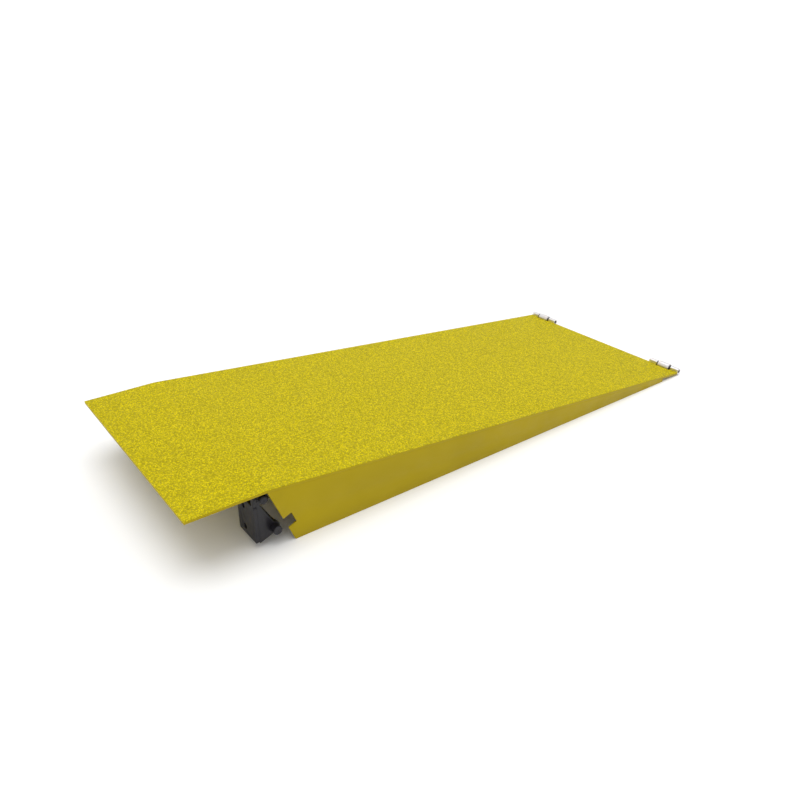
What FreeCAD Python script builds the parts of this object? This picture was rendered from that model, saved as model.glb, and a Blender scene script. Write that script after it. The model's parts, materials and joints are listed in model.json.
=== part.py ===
import FreeCAD, Part
import os
import re
import Sketcher

# Hinged drive-on ramp: a bent steel plate on skirts and ribs, carried by a hinge rod and a stop bar
# at its upper end and by a pair of small rollers at its toe.
#
# Own frame, in mm: +X runs down the ramp to the toe, +Y to the driver's right going up, +Z up.
# The origin is the middle of the base.  Sketches measure X from the lip's free edge and Z from the
# floor, and every body is then moved back by half the whole length.

DRIVING = [
    ("ramp_width", 480, "width over the skirts"),
    ("lip_length", 138, "flat lip, from its free edge to the bend"),
    ("run_length", 1092, "level distance from the bend to the plate's toe edge"),
    ("lip_top", 114.1, "top of the lip's steel above the floor"),
    ("toe_top", 7.1, "top of the steel at the toe edge"),
    ("plate_thick", 4.5, "deck plate"),
    ("grit_thick", 0.8, "anti-slip coating"),
    ("skirt_thick", 3, "side skirt"),
    ("skirt_setback", 43.5, "lower corner of the skirt's slanted end, beyond the bend"),
    ("skirt_stop", 57.5, "gap from the skirt's end to the toe edge"),
    ("notch_up", 41.9, "middle of the stop notch, up the slanted end from its lower corner"),
    ("notch_width", 23, "stop notch, along the slanted end"),
    ("notch_depth", 16.5, "stop notch, square to the slanted end"),
    ("rib_offset", 80, "inner rib's middle from the ramp's middle"),
    ("rib_thick", 4, "inner rib"),
    ("cross_first", 80, "first row of cross ribs, beyond the bend"),
    ("cross_last", 412, "last row of cross ribs, before the toe edge"),
    ("cross_thick", 4, "cross rib"),
    ("cross_depth", 38, "cross rib's depth under the plate"),
    ("rod_r", 7, "hinge rod"),
    ("rod_setback", 5, "hinge rod's axis, before the bend"),
    ("rod_inset", 3, "end of the hinge rod, in from the ramp's edge"),
    ("rod_chamfer", 1.5, "hinge rod's ends"),
    ("eye_r", 12.5, "outside of a hinge eye, and a lug's reach above the rod"),
    ("eye_thick", 8, "hinge eye"),
    ("eye_clear", 1.1, "gap between an eye's circle and the lip's underside"),
    ("eye_side_gap", 1, "gap between a lug and the eye beside it"),
    ("run_clear", 0.1, "radial clearance where an eye turns on the rod"),
    ("fixed_clear", 0.02, "radial clearance of a held rod, bar or axle"),
    ("lug_inset", 13, "outer face of a lug, in from the ramp's edge"),
    ("lug_thick", 8, "lug plate"),
    ("bar_r", 8, "stop bar"),
    ("lug_wall", 2.5, "steel around the hinge rod in a lug, on the ramp's side"),
    ("lug_waist", 5, "lug's width past the foot plate, below the hinge rod"),
    ("bar_wall", 2, "steel around the stop bar in a lug"),
    ("seat_gap", 0.5, "gap between the bar and the notch's bottom at full swing"),
    ("swing", 21.5, "full swing, in degrees"),
    ("foot_offset", 10, "foot plate's front face, before the rod's axis"),
    ("foot_thick", 6, "foot plate"),
    ("foot_width", 62, "foot plate across the ramp"),
    ("foot_low", 10, "bottom of the foot plate above the floor"),
    ("foot_gap", 1.5, "gap between the foot plate's top and an eye's circle"),
    ("foot_corner_r", 5, "foot plate's corners"),
    ("bolt_r", 5.5, "bolt hole"),
    ("bolt_inset", 52, "bolt holes, in from the ramp's edge"),
    ("bolt_margin", 15, "bolt hole, in from the foot plate's top and bottom"),
    ("rod_washer_r", 9.5, "washer on the hinge rod"),
    ("rod_washer_thick", 2, "washer on the hinge rod"),
    ("split_r", 1.5, "split pin"),
    ("split_clear", 0.1, "radial clearance of the split pin in the rod"),
    ("split_gap", 0.6, "gap between the split pin and the washer"),
    ("split_reach", 1.5, "split pin beyond the rod's surface, each side"),
    ("split_leg", 5, "split pin's bent legs"),
    ("split_leg_r", 1, "split pin's bent legs"),
    ("split_spread", 28, "angle of a bent leg, in degrees"),
    ("split_eye_r", 3, "split pin's eye, to the middle of its wire"),
    ("split_wire_r", 1.2, "wire of the split pin's eye"),
    ("roller_r", 9, "toe roller"),
    ("roller_length", 30.5, "toe roller"),
    ("roller_chamfer", 1, "toe roller's edges"),
    ("roller_gap", 1.5, "gap between the roller and the plate's cut-out"),
    ("roller_clear", 0.08, "radial clearance of a roller on its axle"),
    ("side_play", 0.25, "gap at each end of a roller"),
    ("knuckle_step", 2, "knuckle's radius is less than the roller's by this much"),
    ("knuckle_sink", 1.5, "flat cut where a knuckle meets the toe edge"),
    ("knuckle_length", 22, "knuckle"),
    ("axle_r", 4, "roller axle"),
    ("axle_inset", 3, "end of the axle, in from the knuckle's end"),
    ("roller_washer_r", 6.5, "washer beside a roller"),
    ("roller_washer_thick", 3.5, "washer beside a roller"),
]

WORKED_OUT = [
    ("slope", "(lip_top - toe_top) / run_length", "fall of the ramp for each mm along"),
    ("slant", "sqrt(1 + slope * slope)", "length along the ramp for each mm along"),
    ("half_turn", "(slant - 1) / slope", "tangent of half the bend's angle"),
    ("knuckle_r", "roller_r - knuckle_step", "outside of a knuckle"),
    ("axle_reach", "knuckle_r - knuckle_sink", "roller axis beyond the toe edge"),
    ("toe_x", "lip_length + run_length", "toe edge"),
    ("axle_x", "toe_x + axle_reach", "roller axis"),
    ("length_all", "axle_x + roller_r", "whole length"),
    ("cut_depth", "roller_r - axle_reach + roller_gap", "plate's cut-out for a roller"),
    ("cut_width", "roller_length + 2 * roller_washer_thick + 2 * side_play", "gap between knuckles"),
    ("lip_under", "lip_top - plate_thick", "underside of the lip"),
    ("under_start", "lip_top - plate_thick * slant", "ramp's underside, carried back to the bend"),
    ("cross_pitch", "(run_length - cross_first - cross_last) / 2", "step between rows of cross ribs"),
    ("edge_length", "sqrt(skirt_setback * skirt_setback + under_start * under_start)", "slanted end"),
    ("edge_x", "skirt_setback / edge_length", "slanted end's direction, along X"),
    ("edge_z", "under_start / edge_length", "slanted end's direction, down Z"),
    ("notch_down", "edge_length - notch_up", "middle of the notch, down the slanted end"),
    ("notch_low", "notch_down + notch_width / 2", "lower side of the notch"),
    ("notch_high", "notch_down - notch_width / 2", "upper side of the notch"),
    ("rod_x", "lip_length - rod_setback", "hinge axis"),
    ("rod_z", "lip_under - eye_r - eye_clear", "hinge axis"),
    ("seat_depth", "notch_depth - bar_r - seat_gap", "bar's axis in the notch at full swing"),
    ("seat_x", "notch_down * edge_x + seat_depth * edge_z + rod_setback",
     "seated bar from the hinge axis, along X"),
    ("seat_z", "under_start - notch_down * edge_z + seat_depth * edge_x - rod_z",
     "seated bar from the hinge axis, along Z"),
    ("bar_x", "rod_x + seat_x * cos(swing) + seat_z * sin(swing)", "stop bar's axis"),
    ("bar_z", "rod_z - seat_x * sin(swing) + seat_z * cos(swing)", "stop bar's axis"),
    ("bar_ring_r", "bar_r + bar_wall", "lug's outside around the stop bar"),
    ("foot_face", "rod_x - foot_offset", "foot plate's front face"),
    ("foot_back", "foot_face - foot_thick", "foot plate's back face, against the runway"),
    ("foot_high", "rod_z - eye_r - foot_gap", "foot plate's top"),
    ("lug_ring_r", "rod_r + lug_wall", "lug's outside around the hinge rod"),
    ("lug_shoulder", "sqrt(eye_r * eye_r - lug_ring_r * lug_ring_r)",
     "top of a lug's upright side, above the hinge axis"),
    ("bolt_low", "foot_low + bolt_margin", "lower bolt hole"),
    ("bolt_high", "foot_high - bolt_margin", "upper bolt hole"),
    ("split_y", "lug_inset - rod_washer_thick - split_gap - split_r", "split pin, in from the edge"),
]

PLATE_SIDES = {"left": -1, "right": 1}
SAME_SIZE = 1e-4
LEAST_CUT = 1e-3
RIGHT_ANGLE = 90

doc = FreeCAD.newDocument("drive_on_ramp")
sheet = doc.addObject("Spreadsheet::Sheet", "dims")
ALIASES = {row[0] for row in DRIVING + WORKED_OUT}
NODES = []


def fill_sheet():
    """One row for each dimension: name, value or formula, and what it is."""
    for number, (alias, value, meaning) in enumerate(DRIVING + WORKED_OUT, start=1):
        sheet.set(f"A{number}", alias)
        sheet.set(f"B{number}", str(value) if (alias, value, meaning) in DRIVING else f"={value}")
        sheet.set(f"C{number}", meaning)
        sheet.setAlias(f"B{number}", alias)
    doc.recompute()


def on_sheet(text):
    """Turn the bare dimension names in a formula into references to the sheet."""
    return re.sub(r"[a-z_]+", lambda word: f"dims.{word[0]}" if word[0] in ALIASES else word[0], str(text))


def value_of(text):
    """The number that a formula gives now."""
    result = sheet.evalExpression(on_sheet(text))
    return float(getattr(result, "Value", result))


def under(along):
    """Height of the ramp's underside at a place along X."""
    return f"(under_start - slope * ({along} - lip_length))"


def on_edge(down, inward):
    """A point measured down the skirt's slanted end and square into the skirt."""
    return (
        f"lip_length + ({down}) * edge_x + ({inward}) * edge_z",
        f"under_start - ({down}) * edge_z + ({inward}) * edge_x",
    )


def across(side, inset):
    """Y of something measured in from the ramp's left (-1) or right (+1) edge."""
    return f"{side} * (ramp_width / 2 - ({inset}))"


def make_body(label, y=0):
    """An empty body, moved back by half the length and across to y."""
    body = doc.addObject("PartDesign::Body", label)
    body.Label = label
    body.setExpression("Placement.Base.x", on_sheet("-length_all / 2"))
    body.setExpression("Placement.Base.y", on_sheet(y))
    NODES.append(body)
    return body


def make_sketch(body, plane, name):
    """A sketch on one of the body's own origin planes."""
    sketch = body.newObject("Sketcher::SketchObject", f"{body.Name}_{name}")
    origin_plane = next(item for item in body.Origin.OriginFeatures if item.Role == plane)
    sketch.AttachmentSupport = [(origin_plane, "")]
    sketch.MapMode = "FlatFace"
    return sketch


def bind(sketch, kind, formula, *place):
    """Add one dimension to a sketch and drive it by a formula."""
    index = sketch.addConstraint(Sketcher.Constraint(kind, *place, value_of(formula)))
    sketch.setExpression(f"Constraints[{index}]", on_sheet(formula))


def draw_polygon(body, plane, name, corners):
    """A closed outline whose every corner is dimensioned from the origin."""
    sketch = make_sketch(body, plane, name)
    points = [FreeCAD.Vector(value_of(x), value_of(y), 0) for x, y in corners]
    count = len(points)
    for number in range(count):
        sketch.addGeometry(Part.LineSegment(points[number], points[(number + 1) % count]), False)
    for number in range(count):
        sketch.addConstraint(Sketcher.Constraint("Coincident", number, 2, (number + 1) % count, 1))
    for number, (x, y) in enumerate(corners):
        bind(sketch, "DistanceX", x, number, 1)
        bind(sketch, "DistanceY", y, number, 1)
    return sketch


def draw_circles(body, plane, name, circles):
    """Circles given as (x, y, radius) formulas."""
    sketch = make_sketch(body, plane, name)
    for number, (x, y, radius) in enumerate(circles):
        centre = FreeCAD.Vector(value_of(x), value_of(y), 0)
        sketch.addGeometry(Part.Circle(centre, FreeCAD.Vector(0, 0, 1), value_of(radius)), False)
        bind(sketch, "DistanceX", x, number, 3)
        bind(sketch, "DistanceY", y, number, 3)
        bind(sketch, "Radius", radius, number)
    return sketch


def pad_both_ways(body, sketch, length):
    """Pad a sketch by half the length to each side of its plane."""
    feature = body.newObject("PartDesign::Pad", f"{sketch.Name}_pad")
    feature.Profile = sketch
    feature.SideType = "Symmetric"
    feature.setExpression("Length", on_sheet(length))
    return feature


def cut_through(body, sketch, depth):
    """Pocket a sketch by half the depth to each side of its plane, and see that steel really went."""
    doc.recompute()
    before = body.Shape.Volume
    feature = body.newObject("PartDesign::Pocket", f"{sketch.Name}_cut")
    feature.Profile = sketch
    feature.SideType = "Symmetric"
    feature.setExpression("Length", on_sheet(depth))
    doc.recompute()
    if body.Shape.Volume >= before - LEAST_CUT:
        raise RuntimeError(f"{feature.Name} cut nothing")
    return feature


def keep_faces_apart(body):
    """Leave faces that lie in one plane as they are drawn, and not merged."""
    for feature in body.Group:
        if "Refine" in feature.PropertiesList:
            feature.Refine = False


def ring_edges(shape, radius):
    """Names of the edges that are whole circles of this radius."""
    names = []
    for number, edge in enumerate(shape.Edges, start=1):
        if isinstance(edge.Curve, Part.Circle) and abs(edge.Curve.Radius - radius) < SAME_SIZE:
            names.append(f"Edge{number}")
    return names


def long_edges(shape, axis):
    """Names of the straight edges that run along an axis."""
    names = []
    for number, edge in enumerate(shape.Edges, start=1):
        if isinstance(edge.Curve, Part.Line) and abs(abs(edge.Curve.Direction.dot(axis)) - 1) < SAME_SIZE:
            names.append(f"Edge{number}")
    return names


def bevel_ends(body, radius, size):
    """Chamfer the round ends of a rod or roller."""
    doc.recompute()
    last = body.Tip
    feature = body.newObject("PartDesign::Chamfer", f"{body.Name}_chamfer")
    feature.Base = (last, ring_edges(last.Shape, value_of(radius)))
    feature.setExpression("Size", on_sheet(size))
    return feature


def rod_body(label, y, x, z, radius, length):
    """A round bar along Y."""
    body = make_body(label, y)
    pad_both_ways(body, draw_circles(body, "XZ_Plane", "outline", [(x, z, radius)]), length)
    return body


def roller_cutouts(body):
    """Clear the plate's toe edge for both rollers."""
    for name, side in PLATE_SIDES.items():
        near = across(side, "knuckle_length")
        far = across(side, "knuckle_length + cut_width")
        corners = [
            ("toe_x - cut_depth", near),
            ("toe_x + cut_depth", near),
            ("toe_x + cut_depth", far),
            ("toe_x - cut_depth", far),
        ]
        cut_through(body, draw_polygon(body, "XY_Plane", f"cutout_{name}", corners), "3 * lip_top")


def deck_plate():
    """Bent plate: a level lip and the long ramp, with its toe cut out for the rollers.

    The lip's underside is two faces that meet above the foot plates' backs. The runway's deck
    ends there, so the lip rests on the first face, and the hinge eyes stand on the second.
    """
    body = make_body("deck_plate")
    corners = [
        (0, "lip_under"),
        ("foot_back", "lip_under"),
        ("lip_length - plate_thick * half_turn", "lip_under"),
        ("toe_x", under("toe_x")),
        ("toe_x", "toe_top"),
        ("lip_length", "lip_top"),
        (0, "lip_top"),
    ]
    pad_both_ways(body, draw_polygon(body, "XZ_Plane", "outline", corners), "ramp_width")
    roller_cutouts(body)
    keep_faces_apart(body)


def grit_coating():
    """Anti-slip layer over the whole top of the plate."""
    body = make_body("grit_coating")
    corners = [
        (0, "lip_top"),
        ("lip_length", "lip_top"),
        ("toe_x", "toe_top"),
        ("toe_x", "toe_top + grit_thick * slant"),
        ("lip_length + grit_thick * half_turn", "lip_top + grit_thick"),
        (0, "lip_top + grit_thick"),
    ]
    pad_both_ways(body, draw_polygon(body, "XZ_Plane", "outline", corners), "ramp_width")
    roller_cutouts(body)


def web_outline():
    """Side view of a skirt or inner rib, with the stop notch in its slanted end."""
    end = "toe_x - skirt_stop"
    return [
        ("lip_length", "under_start"),
        on_edge("notch_high", "0"),
        on_edge("notch_high", "notch_depth"),
        on_edge("notch_low", "notch_depth"),
        on_edge("notch_low", "0"),
        ("lip_length + skirt_setback", 0),
        (end, 0),
        (end, under(end)),
    ]


def webs():
    """Two side skirts flush with the plate's edges and two inner ribs."""
    for name, side in PLATE_SIDES.items():
        skirt = make_body(f"side_skirt_{name}", across(side, "skirt_thick / 2"))
        pad_both_ways(skirt, draw_polygon(skirt, "XZ_Plane", "outline", web_outline()), "skirt_thick")
        rib = make_body(f"inner_rib_{name}", f"{side} * rib_offset")
        pad_both_ways(rib, draw_polygon(rib, "XZ_Plane", "outline", web_outline()), "rib_thick")


def cross_ribs():
    """Flat bars on edge under the plate, in rows, one bar in each bay between skirts and ribs."""
    side_bay = "(ramp_width / 2 - skirt_thick - rib_offset - rib_thick / 2)"
    middle_bay = "(2 * rib_offset - rib_thick)"
    side_middle = f"(rib_offset + rib_thick / 2 + {side_bay} / 2)"
    bays = {
        "left": (f"-1 * {side_middle}", side_bay),
        "middle": ("0", middle_bay),
        "right": (side_middle, side_bay),
    }
    for row, row_name in enumerate(("upper", "central", "lower")):
        front = f"lip_length + cross_first + {row} * cross_pitch"
        back = f"{front} + cross_thick"
        foot = f"{under(back)} - cross_depth"
        corners = [(front, foot), (back, foot), (back, under(back)), (front, under(front))]
        for bay, (middle, width) in bays.items():
            body = make_body(f"cross_rib_{row_name}_{bay}", middle)
            pad_both_ways(body, draw_polygon(body, "XZ_Plane", "outline", corners), width)


def hinge_eyes():
    """Four eyes under the bend that turn on the hinge rod."""
    left = "rod_x - eye_r"
    right = "rod_x + eye_r"
    corners = [
        (left, "rod_z"),
        (right, "rod_z"),
        (right, under(right)),
        ("lip_length - plate_thick * half_turn", "lip_under"),
        (left, "lip_under"),
    ]
    places = {
        "outer": "lug_inset + lug_thick + eye_side_gap + eye_thick / 2",
        "inner": "ramp_width / 2 - rib_offset - rib_thick / 2 - eye_thick / 2",
    }
    for name, side in PLATE_SIDES.items():
        for place, inset in places.items():
            body = make_body(f"hinge_eye_{name}_{place}", across(side, inset))
            pad_both_ways(body, draw_polygon(body, "XZ_Plane", "web", corners), "eye_thick")
            ring = draw_circles(body, "XZ_Plane", "ring", [("rod_x", "rod_z", "eye_r")])
            pad_both_ways(body, ring, "eye_thick")
            bore = draw_circles(body, "XZ_Plane", "bore", [("rod_x", "rod_z", "rod_r + run_clear")])
            cut_through(body, bore, "2 * eye_thick")


def lug_plates():
    """Two fixed lugs that carry the hinge rod and the stop bar, slim on the side of the ramp."""
    corners = [
        ("foot_face", "foot_low"),
        ("bar_x", "bar_z - bar_ring_r"),
        ("bar_x", "bar_z + bar_ring_r"),
        ("foot_face + lug_waist", "rod_z - eye_r"),
        ("rod_x", "rod_z - lug_ring_r"),
        ("rod_x + lug_ring_r", "rod_z"),
        ("rod_x + lug_ring_r", "rod_z + lug_shoulder"),
        ("rod_x", "rod_z + eye_r"),
        ("foot_back", "rod_z + eye_r"),
        ("foot_back", "foot_high"),
        ("foot_face", "foot_high"),
    ]
    bores = [
        ("rod_x", "rod_z", "rod_r + fixed_clear"),
        ("bar_x", "bar_z", "bar_r + fixed_clear"),
    ]
    for name, side in PLATE_SIDES.items():
        body = make_body(f"lug_plate_{name}", across(side, "lug_inset + lug_thick / 2"))
        pad_both_ways(body, draw_polygon(body, "XZ_Plane", "web", corners), "lug_thick")
        for place, circle in {
            "rod": ("rod_x", "rod_z", "lug_ring_r"),
            "bar": ("bar_x", "bar_z", "bar_ring_r"),
        }.items():
            ring = draw_circles(body, "XZ_Plane", f"{place}_ring", [circle])
            pad_both_ways(body, ring, "lug_thick")
        cut_through(body, draw_circles(body, "XZ_Plane", "bores", bores), "2 * lug_thick")


def foot_plates():
    """Two bolt-on plates behind the lugs, with two holes each."""
    for name, side in PLATE_SIDES.items():
        body = make_body(f"foot_plate_{name}", across(side, "lug_inset + foot_width / 2"))
        corners = [
            ("foot_back", "foot_low"),
            ("foot_face", "foot_low"),
            ("foot_face", "foot_high"),
            ("foot_back", "foot_high"),
        ]
        pad_both_ways(body, draw_polygon(body, "XZ_Plane", "outline", corners), "foot_width")
        sideways = f"{side} * (lug_inset + foot_width / 2 - bolt_inset)"
        holes = [(sideways, height, "bolt_r") for height in ("bolt_low", "bolt_high")]
        cut_through(body, draw_circles(body, "YZ_Plane", "holes", holes), "2 * length_all")
        last = body.Tip
        rounding = body.newObject("PartDesign::Fillet", f"{body.Name}_corners")
        rounding.Base = (last, long_edges(last.Shape, FreeCAD.Vector(1, 0, 0)))
        rounding.setExpression("Radius", on_sheet("foot_corner_r"))


def hinge_rod():
    """Rod through lugs and eyes, drilled near each end for a split pin."""
    body = rod_body("hinge_rod", 0, "rod_x", "rod_z", "rod_r", "ramp_width - 2 * rod_inset")
    holes = [(across(side, "split_y"), "rod_z", "split_r + split_clear") for side in PLATE_SIDES.values()]
    bevel_ends(body, "rod_r", "rod_chamfer")
    cut_through(body, draw_circles(body, "YZ_Plane", "pin_holes", holes), "2 * length_all")


def stop_bar():
    """Round bar that the notches come down on when the ramp hangs at full swing."""
    body = rod_body("stop_bar", 0, "bar_x", "bar_z", "bar_r", "ramp_width")
    bevel_ends(body, "bar_r", "rod_chamfer / 2")


def toe_rollers():
    """At each toe corner: two knuckles on the plate's edge, an axle held in them and a roller."""
    places = {
        "outer": "knuckle_length / 2",
        "inner": "knuckle_length + cut_width + knuckle_length / 2",
    }
    middle = "knuckle_length + cut_width / 2"
    for name, side in PLATE_SIDES.items():
        for place, inset in places.items():
            knuckle = rod_body(f"toe_knuckle_{name}_{place}", across(side, inset), "axle_x", "roller_r",
                               "knuckle_r", "knuckle_length")
            flat = [
                ("toe_x", 0),
                ("toe_x", "2 * roller_r"),
                ("toe_x - knuckle_r", "2 * roller_r"),
                ("toe_x - knuckle_r", 0),
            ]
            cut_through(knuckle, draw_polygon(knuckle, "XZ_Plane", "flat", flat), "2 * knuckle_length")
            held = ("axle_x", "roller_r", "axle_r + fixed_clear")
            bore = draw_circles(knuckle, "XZ_Plane", "bore", [held])
            cut_through(knuckle, bore, "2 * knuckle_length")
        roller = rod_body(f"toe_roller_{name}", across(side, middle),
                          "axle_x", "roller_r", "roller_r", "roller_length")
        bevel_ends(roller, "roller_r", "roller_chamfer")
        turning = ("axle_x", "roller_r", "axle_r + roller_clear")
        bore = draw_circles(roller, "XZ_Plane", "bore", [turning])
        cut_through(roller, bore, "2 * roller_length")
        axle = rod_body(f"roller_axle_{name}", across(side, middle), "axle_x", "roller_r", "axle_r",
                        "cut_width + 2 * (knuckle_length - axle_inset)")
        bevel_ends(axle, "axle_r", "roller_chamfer / 2")


def cylinder(name, radius, length, x, y, z, axis, angle=RIGHT_ANGLE):
    """A round primitive turned about an axis, starting at a formula-driven place."""
    shape = doc.addObject("Part::Cylinder", name)
    shape.setExpression("Radius", on_sheet(radius))
    shape.setExpression("Height", on_sheet(length))
    shape.Placement = FreeCAD.Placement(FreeCAD.Vector(), FreeCAD.Rotation(axis, angle))
    place(shape, x, y, z)
    return shape


def place(shape, x, y, z):
    """Drive a primitive's position, with X measured from the lip's free edge."""
    for letter, formula in {"x": f"{x} - length_all / 2", "y": y, "z": z}.items():
        shape.setExpression(f"Placement.Base.{letter}", on_sheet(formula))


def washer(name, radius, bore, thick, x, middle, z):
    """A flat ring square to Y, given by the Y of its middle."""
    turn = FreeCAD.Vector(1, 0, 0)
    start = f"{middle} + ({thick}) / 2"
    disc = cylinder(f"{name}_disc", radius, thick, x, start, z, turn)
    hole = cylinder(f"{name}_hole", bore, thick, x, start, z, turn)
    ring = doc.addObject("Part::Cut", name)
    ring.Base = disc
    ring.Tool = hole
    return ring


def group(label, members):
    """Identical small pieces that share one node."""
    compound = doc.addObject("Part::Compound", label)
    compound.Label = label
    compound.Links = members
    NODES.append(compound)


def washers():
    """A washer at each end of both rollers, and one outside each lug on the hinge rod."""
    insets = {
        "outer": "knuckle_length + roller_washer_thick / 2",
        "inner": "knuckle_length + cut_width - roller_washer_thick / 2",
    }
    beside_rollers = []
    on_rod = []
    for name, side in PLATE_SIDES.items():
        for place_name, inset in insets.items():
            beside_rollers.append(washer(
                f"roller_washer_{name}_{place_name}", "roller_washer_r", "axle_r + fixed_clear",
                "roller_washer_thick", "axle_x", across(side, inset), "roller_r"))
        on_rod.append(washer(
            f"rod_washer_{name}", "rod_washer_r", "rod_r + run_clear", "rod_washer_thick",
            "rod_x", across(side, "lug_inset - rod_washer_thick / 2"), "rod_z"))
    group("roller_washers", beside_rollers)
    group("rod_washers", on_rod)


def split_pins():
    """A pin through each end of the rod, along X: an eye before the rod and two bent legs beyond."""
    along = FreeCAD.Vector(0, 1, 0)
    pins = []
    for name, side in PLATE_SIDES.items():
        y = across(side, "split_y")
        shank = cylinder(f"split_shank_{name}", "split_r", "2 * (rod_r + split_reach)",
                         "rod_x - rod_r - split_reach", y, "rod_z", along)
        legs = []
        for leg, turn in (("upper", -1), ("lower", 1)):
            shape = cylinder(f"split_leg_{name}_{leg}", "split_leg_r", "split_leg",
                             "rod_x + rod_r + split_reach / 2", y, "rod_z", along)
            lean = on_sheet(f"{RIGHT_ANGLE} + {turn} * split_spread")
            shape.setExpression("Placement.Rotation.Angle", lean)
            legs.append(shape)
        eye = doc.addObject("Part::Torus", f"split_eye_{name}")
        eye.setExpression("Radius1", on_sheet("split_eye_r"))
        eye.setExpression("Radius2", on_sheet("split_wire_r"))
        on_side = FreeCAD.Rotation(FreeCAD.Vector(1, 0, 0), RIGHT_ANGLE)
        eye.Placement = FreeCAD.Placement(FreeCAD.Vector(), on_side)
        place(eye, "rod_x - rod_r - split_reach - split_eye_r", y, "rod_z")
        pin = doc.addObject("Part::MultiFuse", f"split_pin_{name}")
        pin.Shapes = [shank, *legs, eye]
        pins.append(pin)
    group("split_pins", pins)


def write_parts():
    """Check every object, then write one file for each node."""
    doc.recompute()
    for item in doc.Objects:
        bad = [word for word in item.State if word in ("Invalid", "Error")]
        if bad:
            raise RuntimeError(f"{item.Name}: {bad}")
    for node in NODES:
        if node.Shape.isNull() or not node.Shape.isValid() or not node.Shape.Solids:
            raise RuntimeError(f"{node.Label} has no sound solid")
    os.makedirs("parts", exist_ok=True)
    for node in NODES:
        node.Shape.exportStep(f"parts/{node.Label}.step")
        box = node.Shape.BoundBox
        print(f"{node.Label:28s} {len(node.Shape.Solids)} {node.Shape.Volume:12.1f} "
              f"x {box.XMin:8.2f} {box.XMax:8.2f} y {box.YMin:8.2f} {box.YMax:8.2f} "
              f"z {box.ZMin:7.2f} {box.ZMax:7.2f}")


def main():
    fill_sheet()
    deck_plate()
    grit_coating()
    webs()
    cross_ribs()
    hinge_eyes()
    lug_plates()
    foot_plates()
    hinge_rod()
    stop_bar()
    toe_rollers()
    washers()
    split_pins()
    write_parts()


main()
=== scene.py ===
"""Looks of a hinged drive-on ramp: painted steel, grip coating, welds, zinc rollers and a black bracket.

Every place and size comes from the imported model's own frame, in metres.
"""

import json
import logging
import math
from dataclasses import dataclass
from enum import Enum
from typing import Callable, Iterable, Sequence

import bmesh
import bpy
from bmesh.types import BMEdge, BMesh, BMFace, BMVert
from mathutils import Matrix, Vector, noise


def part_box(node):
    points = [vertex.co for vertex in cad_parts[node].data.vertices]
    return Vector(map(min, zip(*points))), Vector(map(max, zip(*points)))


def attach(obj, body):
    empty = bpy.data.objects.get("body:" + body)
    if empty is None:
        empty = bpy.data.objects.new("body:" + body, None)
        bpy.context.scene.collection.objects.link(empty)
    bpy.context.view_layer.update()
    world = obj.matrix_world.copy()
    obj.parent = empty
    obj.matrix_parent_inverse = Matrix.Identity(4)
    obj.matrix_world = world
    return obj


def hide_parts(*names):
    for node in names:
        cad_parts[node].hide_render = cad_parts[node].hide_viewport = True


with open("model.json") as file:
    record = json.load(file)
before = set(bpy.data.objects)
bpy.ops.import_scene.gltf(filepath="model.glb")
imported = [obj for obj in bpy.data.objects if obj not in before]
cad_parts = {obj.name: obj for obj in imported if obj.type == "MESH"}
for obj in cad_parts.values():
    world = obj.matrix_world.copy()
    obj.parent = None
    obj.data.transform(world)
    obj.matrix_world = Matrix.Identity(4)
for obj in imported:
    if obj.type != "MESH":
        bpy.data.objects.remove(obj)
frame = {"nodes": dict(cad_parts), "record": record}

LOG = logging.getLogger("ramp")

MM = 0.001
MERGE_DISTANCE = 1e-6
FLAT_ANGLE = math.radians(0.5)
BEVEL_ANGLE = math.radians(30.0)
SHARP_ANGLE = math.radians(24.0)
FULL_TURN = 2.0 * math.pi
ALONG = Vector((1.0, 0.0, 0.0))
ACROSS = Vector((0.0, 1.0, 0.0))
UPWARD = Vector((0.0, 0.0, 1.0))
AT_BEND = 10.0 * MERGE_DISTANCE
ROUND_STEPS = 64
SMALL_ROUND_STEPS = 48

Socket = bpy.types.NodeSocket
Colour = tuple[float, float, float]


class Side(Enum):
    """Left and right hand of a driver going up the ramp."""

    LEFT = "left"
    RIGHT = "right"


class Body(Enum):
    """The rigid bodies that pieces ride on."""

    BRACKET = "lift_bracket"
    RAMP = "ramp"
    ROLLER_LEFT = "roller_left"
    ROLLER_RIGHT = "roller_right"


class Slot(Enum):
    """The record's material slots."""

    YELLOW = "yellow_paint"
    GRIT = "yellow_grit"
    BLACK = "black_paint"
    ZINC = "zinc_plate"
    DARK = "dark_steel"


ROLLER_BODY = {Side.LEFT: Body.ROLLER_LEFT, Side.RIGHT: Body.ROLLER_RIGHT}


@dataclass(frozen=True)
class Patch:
    """Where a pattern's values tint a coat: the share runs from one value to the other."""

    low: float
    high: float
    share_low: float
    share_high: float
    factor: float = 1.0


MIDDLE_OF_NOISE = (0.3, 0.7)
EDGE_TURN = (0.86, 0.995)
EDGE_SAMPLES = 4


# ---------------------------------------------------------------- shader nodes


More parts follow.
